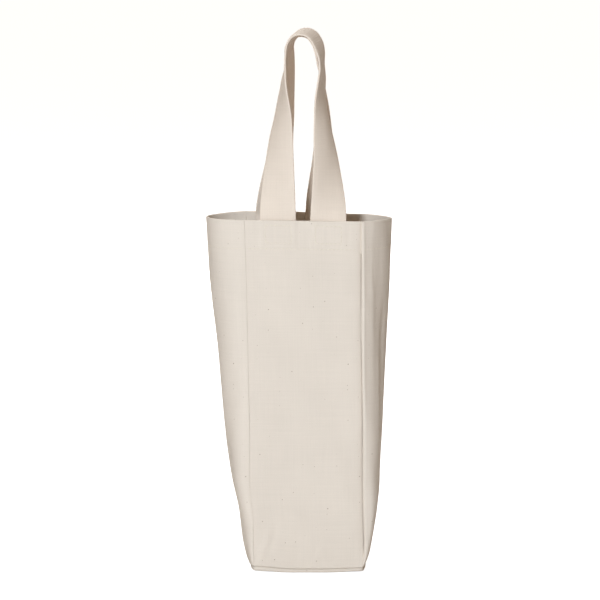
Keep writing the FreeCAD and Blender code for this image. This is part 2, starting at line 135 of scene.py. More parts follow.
world = bpy.data.worlds.new("studio")
bpy.context.scene.world = world
world.use_nodes = True
tree = world.node_tree
tree.nodes.clear()
rays = tree.nodes.new("ShaderNodeLightPath").outputs
seen = math_node(tree, "MAXIMUM", rays["Is Camera Ray"], rays["Is Glossy Ray"])
seen = math_node(tree, "MAXIMUM", seen, rays["Is Transmission Ray"])
choose = tree.nodes.new("ShaderNodeMixShader")
feed(tree, choose.inputs[0], seen)
feed(tree, choose.inputs[1], background(tree, SURROUND_TINT, SURROUND_STRENGTH))
feed(tree, choose.inputs[2], background(tree, WHITE, 1.0))
output = tree.nodes.new("ShaderNodeOutputWorld")
feed(tree, output.inputs["Surface"], choose.outputs[0])
print("surround strength:", SURROUND_STRENGTH)

# %% Floor
FLOOR_SIZE = 60
FLOOR_DROP = 0.0002
FLOOR_PALE = (0.86, 0.86, 0.86, 1)
FLOOR_LIFT = 0.9
bpy.ops.object.select_all(action="DESELECT")
bpy.ops.mesh.primitive_plane_add(size=FLOOR_SIZE, location=(0, 0, -FLOOR_DROP))
floor = bpy.context.object
floor.name = "studio_floor"
bpy.ops.object.transform_apply(location=True)
floor_paint = bpy.data.materials.new("pale_floor")
floor_paint.use_nodes = True
tree = floor_paint.node_tree
tree.nodes.clear()
matt = tree.nodes.new("ShaderNodeBsdfDiffuse")
feed(tree, matt.inputs["Color"], FLOOR_PALE)
glow = tree.nodes.new("ShaderNodeEmission")
rays = tree.nodes.new("ShaderNodeLightPath").outputs
feed(tree, glow.inputs["Strength"], math_node(tree, "MULTIPLY", rays["Is Camera Ray"], FLOOR_LIFT))
both = tree.nodes.new("ShaderNodeAddShader")
feed(tree, both.inputs[0], matt.outputs[0])
feed(tree, both.inputs[1], glow.outputs[0])
output = tree.nodes.new("ShaderNodeOutputMaterial")
feed(tree, output.inputs["Surface"], both.outputs[0])
floor.data.materials.append(floor_paint)
print("floor is in place")

# %% [markdown]
# ## Materials
# Natural canvas is a plain weave of unbleached yarn. Each yarn differs a little in thickness and tone, and
# bits of seed husk show as small brown flecks. The webbing is a thicker weave whose weft makes ribs across
# it. A picture of cloth could be laid on, but the pattern here is worked out from the flat measure of the
# cut cloth, so it stays sharp at any size and follows every bend. What more than one finish uses is a node
# group: the weave, the yarn-to-yarn streaks and the husk flecks.

# %% Node helpers
def scaled(tree, vector, across, along):
    node = tree.nodes.new("ShaderNodeVectorMath")
    node.operation = "MULTIPLY"
    feed(tree, node.inputs[0], vector)
    feed(tree, node.inputs[1], (across, along, 1))
    return node.outputs[0]


def noise(tree, vector, scale, detail):
    node = tree.nodes.new("ShaderNodeTexNoise")
    node.noise_dimensions = "2D"
    for label, value in (("Vector", vector), ("Scale", scale), ("Detail", detail)):
        feed(tree, node.inputs[label], value)
    return node


def mixed(tree, blend, factor, first, second):
    node = tree.nodes.new("ShaderNodeMix")
    node.data_type = "RGBA"
    node.blend_type = blend
    for number, value in ((0, factor), (6, first), (7, second)):
        feed(tree, node.inputs[number], value)
    return node.outputs[2]


def tinted(tree, colour, mask, strength, tint):
    """The colour, with a tint mixed in where the mask is."""
    return mixed(tree, "MIX", math_node(tree, "MULTIPLY", mask, strength), colour, tint)


def new_group(name, inputs, outputs):
    """A node group that reads the flat measure and plain values, and puts out plain values."""
    group = bpy.data.node_groups.new(name, "ShaderNodeTree")
    group.interface.new_socket("Flat", in_out="INPUT", socket_type="NodeSocketVector")
    for way, labels in (("INPUT", inputs), ("OUTPUT", outputs)):
        for label in labels:
            group.interface.new_socket(label, in_out=way, socket_type="NodeSocketFloat")
    print("node group", name)
    return group, group.nodes.new("NodeGroupInput").outputs, group.nodes.new("NodeGroupOutput").inputs


def placed(tree, group, **values):
    node = tree.nodes.new("ShaderNodeGroup")
    node.node_tree = group
    for label, value in values.items():
        feed(tree, node.inputs[label], value)
    return node.outputs


def linear(red, green, blue):
    """A colour given as it is seen, 0 to 255, in the linear values that Blender works with."""
    shares = [part / 255 for part in (red, green, blue)]
    return tuple(s / 12.92 if s <= 0.04045 else ((s + 0.055) / 1.055) ** 2.4 for s in shares) + (1,)


# %% Plain weave group
plain_weave, given, made = new_group("plain_weave", ["Yarns"], ["Height", "Gap"])
split = plain_weave.nodes.new("ShaderNodeSeparateXYZ")
plain_weave.links.new(given["Flat"], split.inputs[0])
waves = []
for part in (split.outputs[0], split.outputs[1]):
    count = math_node(plain_weave, "MULTIPLY", part, given["Yarns"])
    waves.append(math_node(plain_weave, "SINE", math_node(plain_weave, "MULTIPLY", count, math.pi)))
crowns = [math_node(plain_weave, "ABSOLUTE", wave) for wave in waves]
over = math_node(plain_weave, "GREATER_THAN", math_node(plain_weave, "MULTIPLY", *waves), 0.0)
warp_up = math_node(plain_weave, "MULTIPLY", math_node(plain_weave, "SQRT", crowns[0]), crowns[1])
weft_up = math_node(plain_weave, "MULTIPLY", crowns[0], math_node(plain_weave, "SQRT", crowns[1]))
step = math_node(plain_weave, "MULTIPLY", over, math_node(plain_weave, "SUBTRACT", warp_up, weft_up))
plain_weave.links.new(math_node(plain_weave, "ADD", weft_up, step), made["Height"])
hollows = [math_node(plain_weave, "SUBTRACT", 1.0, crown) for crown in crowns]
plain_weave.links.new(math_node(plain_weave, "MULTIPLY", *hollows), made["Gap"])

# %% Yarn streaks group
YARN_NOISE = 900
WARP_STRETCH, WEFT_STRETCH = 28, 22
CLOUD_NOISE = 28
yarn_streaks, given, made = new_group("yarn_streaks", [], ["Streak", "Cloud"])
warp = noise(yarn_streaks, scaled(yarn_streaks, given["Flat"], YARN_NOISE, WARP_STRETCH), 1, 2)
weft = noise(yarn_streaks, scaled(yarn_streaks, given["Flat"], WEFT_STRETCH, YARN_NOISE), 1, 2)
total = math_node(yarn_streaks, "ADD", warp.outputs[0], weft.outputs[0])
yarn_streaks.links.new(math_node(yarn_streaks, "MULTIPLY", total, 0.5), made["Streak"])
cloud = noise(yarn_streaks, given["Flat"], CLOUD_NOISE, 3)
yarn_streaks.links.new(cloud.outputs[0], made["Cloud"])

# %% Husk flecks group
FLECK_NOISE = 900
FLECK_DRIFT = (0.0011, 0.0007, 0)
FLECK_REACH = 0.14
FLECK_SHARPNESS = 40.0
husk_flecks, given, made = new_group("husk_flecks", ["Cells", "Share"], ["Fleck"])
wander = noise(husk_flecks, given["Flat"], FLECK_NOISE, 2)
drift = husk_flecks.nodes.new("ShaderNodeVectorMath")
drift.operation = "MULTIPLY_ADD"
for socket, value in zip(drift.inputs, (wander.outputs["Color"], FLECK_DRIFT, given["Flat"])):
    feed(husk_flecks, socket, value)
cells = husk_flecks.nodes.new("ShaderNodeTexVoronoi")
cells.voronoi_dimensions = "2D"
husk_flecks.links.new(drift.outputs[0], cells.inputs["Vector"])
husk_flecks.links.new(given["Cells"], cells.inputs["Scale"])
chance = husk_flecks.nodes.new("ShaderNodeSeparateXYZ")
husk_flecks.links.new(cells.outputs["Color"], chance.inputs[0])
bare = math_node(husk_flecks, "SUBTRACT", 1.0, given["Share"])
reach = math_node(husk_flecks, "SUBTRACT", chance.outputs[0], bare)
reach = math_node(husk_flecks, "MULTIPLY", reach, FLECK_REACH)
inside = math_node(husk_flecks, "SUBTRACT", reach, cells.outputs["Distance"])
strength = math_node(husk_flecks, "MULTIPLY", inside, FLECK_SHARPNESS)
clamped = math_node(husk_flecks, "MINIMUM", math_node(husk_flecks, "MAXIMUM", strength, 0.0), 1.0)
husk_flecks.links.new(clamped, made["Fleck"])

# %% Natural canvas
CANVAS_COTTON = linear(234, 224, 213)
WEAVE_SHADE = linear(176, 158, 134)
HUSK_DARK = linear(134, 104, 76)
HUSK_PALE = linear(150, 122, 96)
COTTON_SPECULAR = 0.2
STREAK_DEPTH, CLOUD_DEPTH = 0.10, 0.07


def cloth_material(name, base, roughness):
    """A material that reads the flat measure of the cut, and its Principled shader."""
    material = bpy.data.materials.new(name)
    material.use_nodes = True
    tree = material.node_tree
    shader = tree.nodes["Principled BSDF"]
    shader.inputs["Roughness"].default_value = roughness
    shader.inputs["Specular IOR Level"].default_value = COTTON_SPECULAR
    flat = tree.nodes.new("ShaderNodeUVMap")
    flat.uv_map = "flat"
    streaks = placed(tree, yarn_streaks, Flat=flat.outputs[0])
    tone = math_node(tree, "MULTIPLY_ADD", streaks["Streak"], STREAK_DEPTH, 1 - STREAK_DEPTH / 2)
    cloud = math_node(tree, "MULTIPLY_ADD", streaks["Cloud"], CLOUD_DEPTH, 1 - CLOUD_DEPTH / 2)
    shade = tree.nodes.new("ShaderNodeCombineColor")
    both = math_node(tree, "MULTIPLY", tone, cloud)
    for socket in shade.inputs:
        tree.links.new(both, socket)
    colour = mixed(tree, "MULTIPLY", 1.0, base, shade.outputs[0])
    return material, tree, shader, flat.outputs[0], colour


def dressed(tree, shader, colour, height, depth, strength):
    """Give a shader its colour, and a bump of the given depth."""
    tree.links.new(colour, shader.inputs["Base Color"])
    bump = tree.nodes.new("ShaderNodeBump")
    bump.inputs["Distance"].default_value = depth
    bump.inputs["Strength"].default_value = strength
    tree.links.new(height, bump.inputs["Height"])
    tree.links.new(bump.outputs[0], shader.inputs["Normal"])


canvas, tree, shader, flat, colour = cloth_material("natural_canvas", CANVAS_COTTON, roughness=0.95)
weave = placed(tree, plain_weave, Flat=flat, Yarns=1250.0)
colour = tinted(tree, colour, weave["Gap"], strength=0.35, tint=WEAVE_SHADE)
few = placed(tree, husk_flecks, Flat=flat, Cells=110.0, Share=0.42)
small = placed(tree, husk_flecks, Flat=flat, Cells=330.0, Share=0.2)
colour = tinted(tree, colour, few["Fleck"], strength=0.6, tint=HUSK_DARK)
colour = tinted(tree, colour, small["Fleck"], strength=0.5, tint=HUSK_PALE)
dressed(tree, shader, colour, weave["Height"], depth=0.00025, strength=0.55)
print("made", canvas.name)

# %% Ribbed webbing
WEBBING_COTTON = linear(233, 220, 207)
webbing, tree, shader, flat, colour = cloth_material("ribbed_webbing", WEBBING_COTTON, roughness=0.93)
ribs = placed(tree, plain_weave, Flat=scaled(tree, flat, across=1.0, along=1.25), Yarns=720.0)
colour = tinted(tree, colour, ribs["Gap"], strength=0.05, tint=WEAVE_SHADE)
small = placed(tree, husk_flecks, Flat=flat, Cells=240.0, Share=0.12)
colour = tinted(tree, colour, small["Fleck"], strength=0.35, tint=HUSK_PALE)
dressed(tree, shader, colour, ribs["Height"], depth=0.00018, strength=0.22)
print("made", webbing.name)

# %% Cotton thread
THREAD_COTTON = linear(238, 229, 214)
PLY_TURNS = 1600
thread, tree, shader, flat, colour = cloth_material("cotton_thread", THREAD_COTTON, roughness=0.85)
ply = tree.nodes.new("ShaderNodeTexWave")
ply.bands_direction = "DIAGONAL"
ply.inputs["Scale"].default_value = PLY_TURNS
tree.links.new(flat, ply.inputs["Vector"])
dressed(tree, shader, colour, ply.outputs[1], depth=0.0001, strength=0.7)
print("made", thread.name)

# %% [markdown]
# ## The sewn shape
# All walls hang from four upright seams. The places of the seams and the belly of each gusset are read from
# the photograph at a few heights, in millimetres, and a smooth line is drawn through them. The gussets are
# not alike: the left one bellies out further, and the right one is squarer near the base.

# %% Seam lines and bellies
RIM = 280.0
BASE_SEAM = 3.2
CLOTH = 0.8
LAYER_GAP = 0.15
HEM = 25.0
WALL_CLOTH = 93.0
PANEL_STAND, PANEL_LEAN = 46.5, 12.5


def through(places, values):
    """A smooth line through measured values."""
    places = np.array(places, float)
    values = np.array(values, float)
    slopes = np.gradient(values, places)

    def at(place):
        place = np.clip(place, places[0], places[-1])
        i = np.clip(np.searchsorted(places, place) - 1, 0, len(places) - 2)
        span = places[i + 1] - places[i]
        t = (place - places[i]) / span
        ends = (2 * t**3 - 3 * t**2 + 1) * values[i] + (3 * t**2 - 2 * t**3) * values[i + 1]
        return ends + span * ((t**3 - 2 * t**2 + t) * slopes[i] + (t**3 - t**2) * slopes[i + 1])
    return at


left_seam = through([3, 20, 46, 58, 109, 148, 193, 237, 280],
                    [-40.4, -40.9, -41.4, -42.9, -43.9, -44.6, -45.5, -46.5, -48.0])
right_seam = through([3, 10, 20, 42, 64, 109, 148, 193, 237, 280],
                     [45.2, 46.2, 46.8, 46.3, 45.8, 45.8, 45.3, 44.8, 44.8, 44.6])
left_belly = through([3, 11.5, 34, 57, 79.5, 102, 143, 188, 233, 280],
                     [4.5, 6.8, 10.6, 12.9, 16.0, 19.4, 23.2, 26.4, 29.9, 31.0])
right_belly = through([3, 11.5, 22.8, 34, 45.5, 57, 79.5, 102, 143, 188, 233, 280],
                      [2.6, 4.8, 6.6, 8.9, 11.2, 13.0, 14.5, 16.0, 18.1, 20.9, 23.0, 24.6])


def front_line(height):
    """How far the front and back panels stand from the middle: they lean in towards the rim."""
    return PANEL_STAND - PANEL_LEAN * (height - BASE_SEAM) / (RIM - BASE_SEAM)


print("front panel width at the rim:", round(float(right_seam(RIM) - left_seam(RIM)), 1), "mm")

# %% How the cloth settles
SEAM_CLIMB, CLIMB_ENDS = 0.9, (-44, -4)
LEFT_LIFT, RIGHT_LIFT = 1.5, 1.0
LIFT_ACROSS, LIFT_DEEP, LIFT_FADE = (10, 46), (20, 47), (8, 60)
BASE_MIDDLE = 2.4
RIM_STAND = PANEL_STAND - PANEL_LEAN
SWAY_FROM = 200


def eased(value, low, high):
    t = np.clip((value - low) / (high - low), 0, 1)
    return t * t * (3 - 2 * t)


def settled(points):
    """Cloth as it settles: the base's corners lift, its seam climbs to the left, and the rim sways."""
    x, y, z = points[..., 0], points[..., 1], points[..., 2]
    climb = SEAM_CLIMB * (1 - eased(x, *CLIMB_ENDS)) * eased(z, 0, BASE_SEAM)
    beside = eased(np.abs(x - BASE_MIDDLE), *LIFT_ACROSS) * eased(np.abs(y), *LIFT_DEEP)
    lift = np.where(x < BASE_MIDDLE, LEFT_LIFT, RIGHT_LIFT) * beside
    fade = 1 - eased(z, *LIFT_FADE)
    backward = np.clip((y + RIM_STAND) / (2 * RIM_STAND), 0, 1)
    # Along the front the rim falls to the right. Along the back it rises on the left and then falls.
    front_rim = 0.2 - 1.1 * eased(x, -48, 45)
    back_rim = 1.5 * eased(x, -80, -44) - 2.3 * eased(x, -30, 45)
    sway = (front_rim + (back_rim - front_rim) * backward) * eased(z, SWAY_FROM, RIM)
    return np.stack([x, y, z + (climb + lift) * fade + sway], axis=-1)


print("panels stand", RIM_STAND, "mm from the middle at the rim")

# %% [markdown]
# ## Folds in the cloth
# Flat cloth that is sewn never stays flat. The webbing pushes the panels out a little near the rim, the hem
# row draws a shallow line, and short drag folds run up from the base seam. A simulation would give folds of
# its own, in other places, so these are small moves along the cloth's normal, read from the photograph. Each
# has a place, a width and a depth in millimetres.

# %% Kinds of folds
SWELL_WAVES = 7
HEM_ROW = RIM - HEM + 2.5
HEM_RISE, ROW_DRAW, ROW_WIDTH = 0.12, 0.18, 0.9
PUCKER, PUCKER_FADE = 0.16, 3.0
STRAP_RISE, STRAP_EDGE = 0.42, 1.2


def ridge(x, z, start, end, width, rise):
    """A soft fold along a line: it fades out sideways and at both ends."""
    (x0, z0), (x1, z1) = start, end
    length = math.hypot(x1 - x0, z1 - z0)
    along = ((x - x0) * (x1 - x0) + (z - z0) * (z1 - z0)) / length
    aside = ((x - x0) * (z1 - z0) - (z - z0) * (x1 - x0)) / length
    fade = eased(along, -0.3 * length, 0.3 * length) * (1 - eased(along, 0.7 * length, 1.3 * length))
    return rise * np.exp(-(aside / width) ** 2) * fade


def rolling(x, z, seed, across, along):
    """Slow uneven swells: a few sine waves with fixed, seeded phases."""
    chance = np.random.default_rng(seed)
    total = np.zeros(np.shape(x))
    for _ in range(SWELL_WAVES):
        a = chance.uniform(0.5, 1.5) * 2 * math.pi / across
        b = chance.uniform(0.5, 1.5) * 2 * math.pi / along
        total = total + np.sin(a * x + b * z * chance.choice((-1, 1)) + chance.uniform(0, 2 * math.pi))
    return total / (SWELL_WAVES / 2)


def hem_relief(z):
    """The double layer of the hem stands out a little, and its row of stitches is drawn in."""
    drawn = ROW_DRAW * np.exp(-((z - HEM_ROW) / ROW_WIDTH) ** 2)
    return HEM_RISE * eased(z, HEM_ROW - 2, HEM_ROW + 1) - drawn


def seam_relief(from_edge, z, seed):
    """Puckers beside an upright seam."""
    return PUCKER * np.exp(-from_edge / PUCKER_FADE) * rolling(from_edge, z, seed, 40, 8.5)


def strap_print(x, z, edges):
    """The flat ends of the webbing, pressed through the hem."""
    low, high = edges
    box = eased(x, low - STRAP_EDGE, low + STRAP_EDGE) * (1 - eased(x, high - STRAP_EDGE, high + STRAP_EDGE))
    return STRAP_RISE * box * eased(z, HEM_ROW - 3, HEM_ROW + 1.5)


print("hem row at", HEM_ROW, "mm")

# %% Folds of each wall
SEAM_STILL = 7.0
GROOVE_DEPTH, GROOVE_WIDTH, GROOVE_STARTS = 2.2, 3.4, (5, 24)
CREASE_DEPTH, CREASE_WIDTH = 0.6, 0.8
BEAD_RISE, BEAD_PLACE, BEAD_WIDTH = 0.55, 1.7, 1.3
FRONT_STRAPS = ((-35.6, -7.1), (4.0, 32.5))
BACK_STRAPS = ((-39.7, -11.2), (0.3, 28.8))
# A swell is its height, its seed and its lengths across and up. A fold is its two ends, width and rise.
FRONT_SWELLS = ((0.32, 3, 55, 120), (0.10, 4, 22, 60))
FRONT_FOLDS = (((-35, 7), (-27, 34), 3.6, 0.75), ((-31, 10), (-22, 40), 3.0, -0.45),
               ((5, 5), (13.5, 18), 2.6, 0.55), ((-41, 47), (-24, 52), 2.2, 0.35),
               ((-12, 63), (6, 64), 1.0, -0.16), ((36, 22), (30, 60), 6.0, 0.35))
BACK_SWELLS = ((0.36, 13, 60, 110), (0.10, 14, 24, 55))
BACK_FOLDS = (((34, 6), (24, 38), 3.8, 0.6), ((-20, 5), (-30, 30), 3.2, 0.5))
LEFT_SWELLS = ((0.40, 23, 34, 150),)
LEFT_FOLDS = (((76, 60), (70, 20), 4.0, -0.6), ((50, 200), (46, 60), 7.0, -0.9))
RIGHT_SWELLS = ((0.45, 33, 30, 130), (0.08, 35, 13, 40))
RIGHT_FOLDS = (((11.3, 274), (11, 130), 3.8, 0.6), ((12.2, 246), (13.0, 227), 1.3, -0.3),
               ((20, 262), (22, 236), 2.2, -0.25), ((30, 205), (24, 120), 4.0, -1.0),
               ((20, 190), (16, 90), 4.5, 0.6), ((34, 110), (28, 40), 5.0, -0.8))


def folded(x, z, swells, folds, straps=()):
    """The swells, the hem, the prints of the webbing and the folds of one wall."""
    total = hem_relief(z)
    for height, seed, across, along in swells:
        total = total + height * rolling(x, z, seed, across, along)
    for edges in straps:
        total = total + strap_print(x, z, edges)
    for fold in folds:
        total = total + ridge(x, z, *fold)
    return total


def front_relief(x, z):
    from_seam = np.maximum(right_seam(z) - x, 0)
    groove = GROOVE_DEPTH * np.exp(-from_seam / GROOVE_WIDTH) * eased(z, *GROOVE_STARTS)
    crease = CREASE_DEPTH * np.exp(-from_seam / CREASE_WIDTH)
    return folded(x, z, FRONT_SWELLS, FRONT_FOLDS, FRONT_STRAPS) - groove - crease


def back_relief(x, z):
    from_seam = np.minimum(x - left_seam(z), right_seam(z) - x)
    return folded(x, z, BACK_SWELLS, BACK_FOLDS, BACK_STRAPS) * eased(from_seam, 0, SEAM_STILL)


def left_relief(a, z):
    return folded(a, z, LEFT_SWELLS, LEFT_FOLDS) * eased(a, 0, SEAM_STILL)


def right_relief(a, z):
    bead = BEAD_RISE * np.exp(-((a - BEAD_PLACE) / BEAD_WIDTH) ** 2)
    return (folded(a, z, RIGHT_SWELLS, RIGHT_FOLDS) + bead) * eased(WALL_CLOTH - a, 0, SEAM_STILL)


print("folds:", len(FRONT_FOLDS + BACK_FOLDS + LEFT_FOLDS + RIGHT_FOLDS))

# %% [markdown]
# ## Walls
# Every wall is given as a surface: a share across it from seam to seam and a height give a point on its
# outer face. The panels are flat sheets. A gusset is a bow between the front and back seams, squarer near
# the base than at the rim. A box could be pushed out by hand instead, but from these surfaces the cloth, the
# allowances and the stitches all find the same places.

# %% Wall surfaces
TUCK = 0.4
ARC_POINTS = 81
LOW_TO_RIM, FOOT_STARTS, FOOT_ENDS = (40, 190), (5, 22), (25, 85)
SLOPE_SHARE, SLOPE_RISE = 0.004, 0.4


def front_wall(share, z):
    low, high = left_seam(z), right_seam(z) + TUCK
    return np.stack([low + (high - low) * share, -front_line(z), z], axis=-1)


def back_wall(share, z):
    low, high = left_seam(z), right_seam(z)
    return np.stack([high + (low - high) * share, front_line(z), z], axis=-1)


def arc_wall(share, z, side, seam, belly, rim_power, low_power, foot_power):
    """A gusset: a bow from one upright seam to the other. A power of 2 is an ellipse, more is squarer."""
    half, rise = front_line(z), belly(z)
    power = low_power + (rim_power - low_power) * eased(z, *LOW_TO_RIM)
    power = power + (foot_power - low_power) * eased(z, *FOOT_STARTS) * (1 - eased(z, *FOOT_ENDS))
    angles = np.linspace(0, math.pi / 2, ARC_POINTS)[:, None]
    swing = half * np.sin(angles) ** (2 / power)
    bow = rise * np.maximum(np.cos(angles), 0) ** (2 / power)
    steps = np.hypot(np.diff(swing, axis=0), np.diff(bow, axis=0))
    length = np.concatenate([steps[:1] * 0, np.cumsum(steps, axis=0)])
    wanted = np.abs(2 * share - 1) * length[-1]
    column = np.arange(len(z))
    i = np.clip(np.sum(length < wanted, axis=0) - 1, 0, len(steps) - 1)
    part = (wanted - length[i, column]) / steps[i, column]
    swing = swing[i, column] + part * (swing[i + 1, column] - swing[i, column])
    bow = bow[i, column] + part * (bow[i + 1, column] - bow[i, column])
    return np.stack([seam(z) + side * bow, side * np.sign(2 * share - 1) * swing, z], axis=-1)


def left_wall(share, z):
    return arc_wall(share, z, -1, left_seam, left_belly, rim_power=2.0, low_power=2.6, foot_power=2.6)


def right_wall(share, z):
    return arc_wall(share, z, 1, right_seam, right_belly, rim_power=1.5, low_power=2.9, foot_power=6.0)


def outward(wall, share, z):
    """The direction that a wall faces, from its slopes."""
    across = wall(share + SLOPE_SHARE, z) - wall(share - SLOPE_SHARE, z)
    up = wall(share, z + SLOPE_RISE) - wall(share, z - SLOPE_RISE)
    normal = np.cross(across, up)
    return normal / np.linalg.norm(normal, axis=-1, keepdims=True)


def relief_at(wall, relief, points, share, z):
    """The rise of a wall's folds: a panel is measured by its x, a gusset along its cloth."""
    return relief(points[:, 0] if wall in (front_wall, back_wall) else share * WALL_CLOTH, z)


print("gussets stand out", [float(belly(RIM)) for belly in (left_belly, right_belly)], "mm at the rim")

# %% [markdown]
# ## From flat cut to sewn wall
# A cut starts as a flat grid at its real size, finer near its edges. Its flat measure is kept as a UV map
# in metres. Then each point goes to its sewn place: the upright edges and the base edge roll in to the
# seam, and the top turns over at the rim and comes down inside as the hem. Last comes the cloth's thickness.

# %% Cutting and sewing helpers
EDGE_STEPS = (0, 0.2, 0.4, 0.65, 0.95, 1.3, 1.75, 2.3, 3.0, 3.9, 5.0)


def edge_spaced(length, step):
    """Places across a cut: fine at both edges and even between them."""
    inner = length - 2 * EDGE_STEPS[-1]
    middle = np.linspace(EDGE_STEPS[-1], length - EDGE_STEPS[-1], int(inner / step) + 1)[1:-1]
    steps = np.array(EDGE_STEPS)
    return np.concatenate([steps, middle, length - steps[::-1]])


def measured(mesh, layer, flat):
    """Keep the flat measure of each point, in mm, as UVs in metres."""
    corners = np.zeros(len(mesh.loops), int)
    mesh.loops.foreach_get("vertex_index", corners)
    layer.data.foreach_set("uv", (flat[corners] * MM).ravel())


def cut_cloth(name, across, along):
    """A flat grid with the given places across and along it, in mm, and their flat measure as UVs."""
    bpy.ops.object.select_all(action="DESELECT")
    columns, rows = len(across) - 1, len(along) - 1
    bpy.ops.mesh.primitive_grid_add(x_subdivisions=columns, y_subdivisions=rows, size=2)
    piece = bpy.context.object
    piece.name = piece.data.name = name
    places = np.zeros(len(piece.data.vertices) * 3)
    piece.data.vertices.foreach_get("co", places)
    places = places.reshape(-1, 3)
    u = np.asarray(across)[np.rint((places[:, 0] + 1) / 2 * columns).astype(int)]
    v = np.asarray(along)[np.rint((places[:, 1] + 1) / 2 * rows).astype(int)]
    layer = piece.data.uv_layers[0]
    layer.name = "flat"
    measured(piece.data, layer, np.stack([u, v], axis=-1))
    return piece, u, v


def sew(piece, places):
    """Move the points of a cut to their sewn places, given in mm."""
    piece.data.vertices.foreach_set("co", (places * MM).astype(np.float32).ravel())
    piece.data.update()


def only(piece):
    """Make one piece the one that operators act on."""
    bpy.ops.object.select_all(action="DESELECT")
    bpy.context.view_layer.objects.active = piece
    piece.select_set(True)


def edit_all():
    """Go into edit mode with the whole of the active piece selected."""
    bpy.ops.object.mode_set(mode="EDIT")
    bpy.ops.mesh.select_all(action="SELECT")


def thicken(piece, thickness):
    """Give a cut the thickness of its cloth, on its inner side."""
    only(piece)
    solid = piece.modifiers.new("cloth", "SOLIDIFY")
    solid.thickness = thickness * MM
    solid.offset = -1
    bpy.ops.object.modifier_apply(modifier=solid.name)
    bpy.ops.object.shade_smooth()


def rolled(from_edge, radius):
    """Place across and depth of a point near a rolled-in edge, by its distance along the cloth."""
    turn = np.clip(math.pi / 2 - from_edge / radius, 0, math.pi / 2)
    across = np.where(turn > 0, radius * (1 - np.sin(turn)), from_edge - radius * (math.pi / 2 - 1))
    return across, radius * (1 - np.cos(turn))


def joined(name, pieces):
    only(pieces[0])
    for piece in pieces[1:]:
        piece.select_set(True)
    bpy.ops.object.join()
    pieces[0].name = pieces[0].data.name = name
    return pieces[0]


def finished(piece, material, slot, *nodes):
    piece.data.materials.clear()
    piece.data.materials.append(material)
    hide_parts(*nodes)
    triangles = sum(len(face.vertices) - 2 for face in piece.data.polygons)
    print(piece.name, triangles, "triangles")


# %% Walls from their cuts
HEM_INSIDE = 2 * CLOTH + LAYER_GAP
RIM_FOLD = HEM_INSIDE / 2
HEM_SETBACK = 0.3
ROLL = 0.85
STRAIGHT = RIM - BASE_SEAM - RIM_FOLD - ROLL + ROLL * math.pi / 2
COLUMN_STEP = 1.25
BODY_ROWS, FOLD_ROWS, HEM_ROWS = 215, 8, 21
PAST_BASE = 100
RELIEF_START = 5


def up_the_wall(v):
    """Height and depth of a point by its distance along the cloth from the base seam."""
    climb, depth = rolled(v, ROLL)
    turn = np.clip((v - STRAIGHT) / RIM_FOLD, 0, math.pi)
    past = np.maximum(v - STRAIGHT - RIM_FOLD * math.pi, 0)
    top = RIM - RIM_FOLD + RIM_FOLD * np.sin(turn) - past
    height = np.where(v > STRAIGHT, top, BASE_SEAM + climb)
    return height, np.where(v > STRAIGHT, RIM_FOLD * (1 - np.cos(turn)), depth)


def wall_rows():
    low = np.array(EDGE_STEPS)
    body = np.linspace(EDGE_STEPS[-1], STRAIGHT, BODY_ROWS)[1:]
    fold = STRAIGHT + RIM_FOLD * math.pi * np.arange(1, FOLD_ROWS + 1) / FOLD_ROWS
    hem = fold[-1] + np.linspace(0, HEM, HEM_ROWS)[1:]
    return np.concatenate([low, body, fold, hem])


def make_wall(name, wall, relief, rolls, seeds):
    """One wall with its hem, sewn from a flat cut. Each upright edge has its own roll and seed."""
    width = WALL_CLOTH
    piece, u, v = cut_cloth(name, edge_spaced(width, COLUMN_STEP), wall_rows())
    z, layer_depth = up_the_wall(v)
    left, left_depth = rolled(u, rolls[0])
    right, right_depth = rolled(width - u, rolls[1])
    shrink = sum(radius * (math.pi / 2 - 1) for radius in rolls)
    share = np.where(u < width / 2, left, width - shrink - right) / (width - shrink)
    inner = eased(layer_depth, 0.5 * RIM_FOLD, 2 * RIM_FOLD) * (v > PAST_BASE)
    share = 0.5 + (share - 0.5) * (1 - inner * HEM_SETBACK / width)
    normal = outward(wall, share, z)
    flat_place = wall(share, z)
    rise = relief_at(wall, relief, flat_place, share, z)
    for from_edge, seed in ((u, seeds[0]), (width - u, seeds[1])):
        rise = rise + seam_relief(from_edge, z, seed)
    rise = rise * eased(z, BASE_SEAM, BASE_SEAM + RELIEF_START)
    depth = layer_depth + np.maximum(left_depth, right_depth) - rise
    sew(piece, settled(flat_place - normal * depth[:, None]))
    return piece


WALL_CUTS = {"front_panel": (front_wall, front_relief, (0.12, 0.35), (41, 42)),
             "back_panel": (back_wall, back_relief, (0.3, 0.3), (43, 44)),
             "left_gusset": (left_wall, left_relief, (0.3, 0.12), (45, 46)),
             "right_gusset": (right_wall, right_relief, (1.9, 0.3), (47, 48))}
walls = {node: make_wall(node + "_cloth", *cut) for node, cut in WALL_CUTS.items()}
for piece in walls.values():
    thicken(piece, CLOTH)
print("walls sewn:", len(walls))

# %% [markdown]
# ## Seam allowances
# Inside, the cloth beside each upright seam is turned in as a flange, one from the panel and one from the
# gusset, flat against each other. They run from the base allowance up to the hem. Each is a narrow grid of
# its own, joined to its wall afterwards, so that the wall's grid doesn't have to turn a sharp corner.

# %% Flanges
ALLOWANCE = 9.0
FLANGE_START = 2.6
FLANGE_LOW, FLANGE_HIGH = 12.5, RIM - HEM - 0.6
FLANGE_COLUMNS, FLANGE_ROWS = 8, 120
FLANGE_SWAY = 0.55
SAME_SIDE, OTHER_SIDE = (-0.05, 0.90), (-0.85, 0.10)


def flange_sway(depth, z, seed):
    """Loose edges of the allowances wave a little."""
    return FLANGE_SWAY * (depth / ALLOWANCE) ** 2 * rolling(depth, z, seed, 60, 34)


